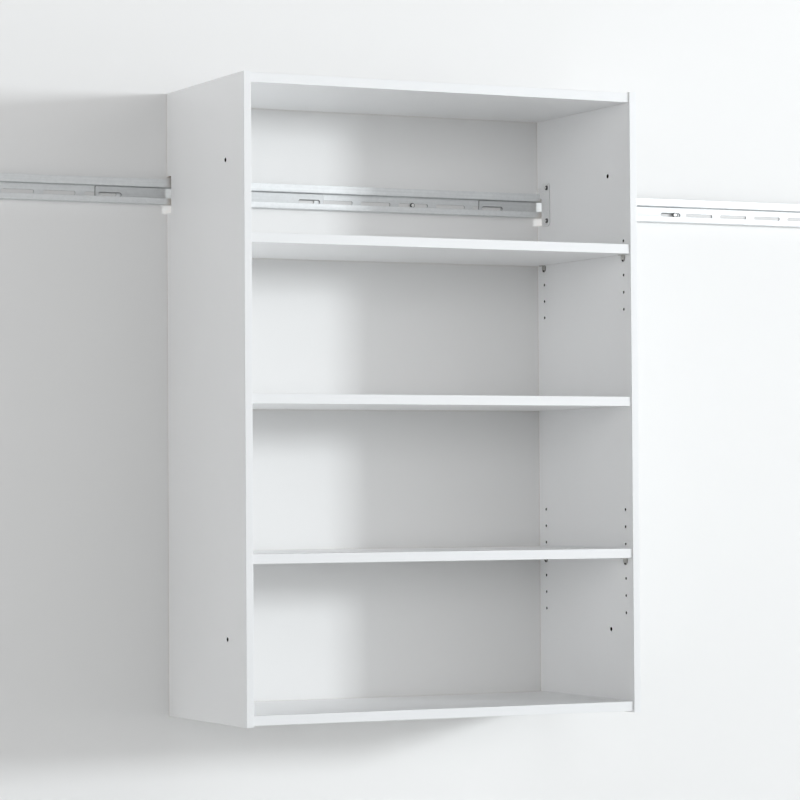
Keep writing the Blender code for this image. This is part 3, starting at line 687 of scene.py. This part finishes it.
def crossScrew(name, place, length, sizes, settings, body, replaced):
    bm = bmesh.new()
    head, height, shank = sizes["head"], sizes["height"], sizes["shank"]
    # a cross-shaped patch, left when the corners of a grid are taken away
    reach, width = settings["crossReach"] / 2 * mm, settings["crossWidth"] / 2 * mm
    bmesh.ops.create_grid(bm, x_segments=3, y_segments=3, size=reach)
    for vert in bm.verts:
        for axis in (0, 1):
            if abs(vert.co[axis]) < reach - nearly:
                vert.co[axis] = math.copysign(width, vert.co[axis])
    middles = {face: face.calc_center_median() for face in bm.faces}
    corners = [face for face, middle in middles.items() if min(abs(middle.x), abs(middle.y)) > nearly]
    bmesh.ops.delete(bm, geom=corners, context="FACES")
    patch = bm.faces[:]
    bmesh.ops.translate(bm, vec=(0, 0, height * mm), verts=bm.verts)
    sunk = only(BMVert, bmesh.ops.extrude_face_region(bm, geom=patch)["geom"])
    bmesh.ops.scale(bm, vec=(settings["crossFloor"], settings["crossFloor"], 1), verts=sunk)
    bmesh.ops.translate(bm, vec=(0, 0, -settings["crossDepth"] * mm), verts=sunk)
    bmesh.ops.delete(bm, geom=[face for face in patch if face.is_valid], context="FACES_ONLY")
    mouth = [edge for edge in bm.edges if edge.is_boundary]
    radius, level = head * settings["crown"][0], height * settings["crown"][1]
    edges = ring(bm, radius, settings["steps"], Matrix.Translation((0, 0, level * mm)))
    fillBetween(bm, mouth + edges, (0, 0, 1))
    turned = [(head * across, height * up) for across, up in settings["profile"]]
    turned += [
        (shank, 0), (shank, settings["pointLength"] * shank - length), (settings["point"] * shank, -length)]
    for nextRadius, nextLevel in turned:
        factor = nextRadius / radius
        edges = push(bm, edges, (0, 0, nextLevel - level), (factor, factor, 1))
        radius, level = nextRadius, nextLevel
    bmesh.ops.contextual_create(bm, geom=edges)
    bmesh.ops.recalc_face_normals(bm, faces=bm.faces)
    # faces out past that radius take the near-black flank finish: painted shade
    for face in bm.faces:
        shadeRing = face.calc_center_median().xy.length > sizes["shadeRing"] * head * mm
        face.material_index = 1 if shadeRing else 0
    bmesh.ops.transform(bm, matrix=place, verts=bm.verts)
    materials = [platedMetals["screwZinc"], platedMetals["screwFlank"]]
    piece = newPiece(name, bm, materials, body, "screw_steel", replaced)
    smoothOver(piece, settings["smooth"])


for name, (x, seat) in screws["wallPlaces"].items():
    place = Matrix.Translation(Vector((x, -seat, rail["slotHeight"])) * mm) @ towardsRoom
    crossScrew("wallScrew." + name, place, seat, screws["wall"], screws, "rail", "wall_screw_" + name)
for side, sign in (("left", -1), ("right", 1)):
    sidePanel(side, sign, panel)
    hookBracket(side, sign, bracket)
    sizes = screws["bracket"]
    inward = Matrix.Rotation(-sign * math.pi / 2, 4, "Y")
    inward = inward @ Matrix.Rotation(math.radians(sizes["turned"]), 4, "Z")
    for level, height in zip(("lower", "upper"), bracket["holeHeights"]):
        seat = Vector((sign * (bracket["face"] - screws["seat"]), bracket["holePlace"], height))
        name = "%s_%s" % (side, level)
        crossScrew(
            "bracketScrew." + name, Matrix.Translation(seat * mm) @ inward, sizes["length"], sizes, screws,
            "tower", "bracket_screw_" + name)
print("panels, brackets and screws made")


# Shelf pins

pins = {
    "plate": 14.0, "thickness": 1.5, "rise": 6.0, "drop": 7.0, "seat": 8.7, "seatCorner": 3.0,
    "bend": 0.5, "bendSteps": 3, "stud": 2.35, "studLength": 10.0, "studSteps": 28,
    "gap": 0.3, "inner": 383.0, "eased": 0.2, "smooth": 32,
    "columns": {"front": -336.0, "rear": -27.0}, "levels": {"upper": -126.0, "lower": -691.2},
}


def shelfPin(name, sign, y, z, settings):
    bm = bmesh.new()
    half, thick, bent = settings["plate"] / 2, settings["thickness"], settings["bend"]
    foot = half - 0.01  # a hair under half, so that the foot keeps a short flat
    # the plate's room side, drawn facing +X with its seat above, then turned for the right side
    lay = lambda y, z: Vector((thick, y, z)) * mm
    top, drop, seat = settings["rise"] - thick - bent, settings["drop"], settings["seat"]
    corners = [((-half, top), 0), ((-half, -drop), foot), ((half, -drop), foot), ((half, top), 0)]
    fillBetween(bm, outline(bm, corners, lay), (1, 0, 0))
    upper = [edge for edge in bm.edges if isAt(edge, 2, top)]
    edge = bend(bm, upper, (thick + bent, 0, top), (0, 1, 0), 90, settings["bendSteps"])
    push(bm, edge, (seat - thick - bent, 0, 0))
    tips = [vert for vert in bm.verts if vert.co.x > seat * mm - nearly]
    bmesh.ops.bevel(
        bm, geom=tips, offset=settings["seatCorner"] * mm, offset_type="OFFSET", affect="VERTICES",
        segments=4, profile=0.5, material=-1)
    bmesh.ops.recalc_face_normals(bm, faces=bm.faces)
    plate = min(bm.faces, key=lambda face: face.calc_center_median().z)
    if plate.normal.x < 0:  # the sheet thickens behind the faces drawn here
        bmesh.ops.reverse_faces(bm, faces=bm.faces)
    bmesh.ops.solidify(bm, geom=bm.faces[:], thickness=thick * mm)
    bmesh.ops.recalc_face_normals(bm, faces=bm.faces)
    # the plate's rim faces take the dark edge finish: painted shade along its outline
    for face in bm.faces:
        onRim = abs(face.normal.x) < 0.5 and face.calc_center_median().z < top * mm
        face.material_index = 1 if onRim else 0
    deep = settings["studLength"] + settings["gap"] + thick / 2
    rod = towardsSide(Vector((thick / 2 - deep / 2, 0, 0)) * mm)
    stud = settings["stud"] * mm
    bmesh.ops.create_cone(
        bm, cap_ends=True, segments=settings["studSteps"], radius1=stud, radius2=stud, depth=deep * mm,
        matrix=rod)
    facing = Matrix.Rotation(0 if sign < 0 else math.pi, 4, "Z")
    spot = Matrix.Translation(Vector((sign * (settings["inner"] - settings["gap"]), y, z)) * mm)
    bmesh.ops.transform(bm, matrix=spot @ facing, verts=bm.verts)
    materials = [platedMetals["nickelPlate"], platedMetals["nickelEdge"]]
    piece = newPiece("shelfPin." + name, bm, materials, "tower", "pin_nickel", "shelf_pin_" + name)
    easeEdges(piece, settings["eased"])
    smoothOver(piece, settings["smooth"])


for level, z in pins["levels"].items():
    for side, sign in (("left", -1), ("right", 1)):
        for column, y in pins["columns"].items():
            shelfPin("%s_%s_%s" % (level, side, column), sign, y, z, pins)
print("shelf pins made")


# Each CAD node's finish

finishOf = {
    "side_panel": panelMelamine,
    "top_board": boardMelamine,
    "middle_shelf": boardMelamine,
    "bottom_board": boardMelamine,
    "upper_adjustable": boardMelamine,
    "lower_adjustable": boardMelamine,
    "rail_section": galvanisedSteel,
    "joiner_sleeve": sleeveSteel,
    "hook_bracket": platedMetals["zincPlate"],
    "bracket_screw": platedMetals["screwZinc"],
    "wall_screw": platedMetals["screwZinc"],
    "shelf_pin": platedMetals["nickelPlate"],
    "cam_lock": platedMetals["castZinc"],
    "cam_bolt": platedMetals["screwZinc"],
}
for name, node in nodes.items():
    for start, material in finishOf.items():
        if name.startswith(start):
            node.data.materials.clear()
            node.data.materials.append(material)
print("nodes dressed")


# Wall, floor and light

studio = {
    "wallColour": (0.745, 0.748, 0.748),
    "floorColour": (0.90, 0.90, 0.89),
    "wallBehind": 0.3,  # mm behind the rail
    "floorHeight": -1.7,
    "reach": 7.0,
    # soft light round the horizon, and a weaker ring above it; heights are degrees
    "ringEdge": 3,
    "ringReach": 14,
    "ringLevel": (0.48, 2.02),  # on the left, and from the front on round to the right
    "ringTurn": (-90, -40),  # where it starts and ends its rise, in degrees from the front
    "upperHeight": 21,
    "upperReach": 9,
    "upperLevel": 0.85,
    "upperLean": 0.3,
    "backdrop": 0.82,  # what the camera sees past the stage
    # metal and gloss see a plain room instead, with a share of the soft light
    "mirrorLevel": 0.5,
    "mirrorShare": 0.1,
    "keyPlace": (7.6, -6.7, 0.68),
    "keyAim": (0, -0.18, -0.4),
    "keySize": 1.05,
    "keyPower": 495,
    "keyColour": (0.94, 0.98, 1.0),
    # straight from behind the wall: nothing but rear faces gets it
    "rearPlace": (0, 3, -0.4),
    "rearAim": (0, 0, -0.4),
    "rearPower": 1.6,
    "rearAngle": 0.1,
}


def stageFinish(name, colour, rearLight):
    # seen through from behind, so that views from behind and below show the closet;
    # rearLight 1 also lets the lamp behind the wall reach the closet's rear faces
    finish = newFinish(name, Roughness=0.9, Specular_IOR_Level=0.1)
    finish.shader.inputs["Base Color"].default_value = (*colour, 1)
    behind = finish.node("ShaderNodeNewGeometry", output=6)  # 1 on a face's rear side
    path = finish.node("ShaderNodeLightPath").socket.node.outputs
    byCamera, shadowed = Wire(finish, path["Is Camera Ray"]), Wire(finish, path["Is Shadow Ray"])
    clear = finish.node("ShaderNodeBsdfTransparent")
    clearShare = behind * byCamera + (1 - behind) * shadowed * rearLight
    both = finish.node("ShaderNodeMixShader", inputs={0: clearShare, 2: clear})
    finish.tree.links.new(finish.shader.outputs[0], both.socket.node.inputs[1])
    ending = finish.tree.nodes["Material Output"]
    finish.tree.links.new(both.socket, ending.inputs["Surface"])
    return finish.owner


def makeStage(settings):
    reach = settings["reach"]
    floorHeight = settings["floorHeight"]
    wallAt = settings["wallBehind"] * mm
    for name, colour, place, turn, rearLight in (
        ("studioWall", settings["wallColour"], (0, wallAt, floorHeight + reach), math.pi / 2, 1),
        ("studioFloor", settings["floorColour"], (0, wallAt - reach, floorHeight), 0, 0),
    ):
        bm = bmesh.new()
        lay = Matrix.Translation(place) @ Matrix.Rotation(turn, 4, "X")
        bmesh.ops.create_grid(bm, x_segments=1, y_segments=1, size=reach, matrix=lay)
        mesh = bpy.data.meshes.new(name)
        bm.to_mesh(mesh)
        bm.free()
        mesh.materials.append(stageFinish(name, colour, rearLight))
        sheet = bpy.data.objects.new(name, mesh)
        bpy.context.scene.collection.objects.link(sheet)


def makeLamp(name, kind, place, aim, **values):
    data = bpy.data.lights.new(name, kind)
    for label, value in values.items():
        setattr(data, label, value)
    lamp = bpy.data.objects.new(name, data)
    lamp.location = place
    lamp.rotation_euler = (Vector(aim) - Vector(place)).to_track_quat("-Z", "Y").to_euler()
    bpy.context.scene.collection.objects.link(lamp)
    return lamp


def makeLight(settings):
    world = bpy.data.worlds.new("studioWorld")
    bpy.context.scene.world = world
    sky = Finish(world)
    path = sky.node("ShaderNodeLightPath")
    sockets = path.socket.node.outputs
    byCamera, through = Wire(sky, sockets["Is Camera Ray"]), Wire(sky, sockets["Is Transmission Ray"])
    seen = sky.maths("MAXIMUM", byCamera, through)
    mirrored = Wire(sky, sockets["Is Glossy Ray"])
    towards = sky.node("ShaderNodeTexCoord", output=0)  # the direction looked in
    split = sky.node("ShaderNodeSeparateXYZ", inputs={0: towards}).socket.node.outputs
    across, height = Wire(sky, split["X"]), Wire(sky, split["Z"])
    around = sky.maths("ARCTAN2", across, 0 - Wire(sky, split["Y"])) * math.degrees(1)
    rise = sky.maths("ARCSINE", height, 0) * math.degrees(1)
    edge = settings["ringEdge"]
    rings = []
    for middle, reach in ((0, settings["ringReach"]), (settings["upperHeight"], settings["upperReach"])):
        away = sky.maths("ABSOLUTE", rise - middle, 0)
        rings.append(sky.span(away, reach - edge, reach + edge, 1, 0))
    lower = rings[0] * sky.span(around, *settings["ringTurn"], *settings["ringLevel"])
    dome = lower + rings[1] * (across * settings["upperLean"] + settings["upperLevel"])
    dome = dome * (Wire(sky, split["Y"]) < 0)  # none from behind the wall
    calm = dome * settings["mirrorShare"] + settings["mirrorLevel"]
    level = dome + seen * (settings["backdrop"] - dome) + mirrored * (calm - dome)
    backdrop = sky.tree.nodes["Background"]
    backdrop.inputs["Color"].default_value = (1, 1, 1, 1)
    sky.tree.links.new(level.socket, backdrop.inputs["Strength"])
    makeLamp(
        "keyLamp", "AREA", settings["keyPlace"], settings["keyAim"], shape="SQUARE",
        size=settings["keySize"], energy=settings["keyPower"], color=settings["keyColour"])
    rear = makeLamp(
        "rearLamp", "SUN", settings["rearPlace"], settings["rearAim"],
        energy=settings["rearPower"], angle=settings["rearAngle"])
    rear.visible_glossy = False  # no sheen along the panels


makeStage(studio)
makeLight(studio)
bpy.context.scene.view_settings.view_transform = "Standard"
print("stage and light set")


# The end

print("scene built")
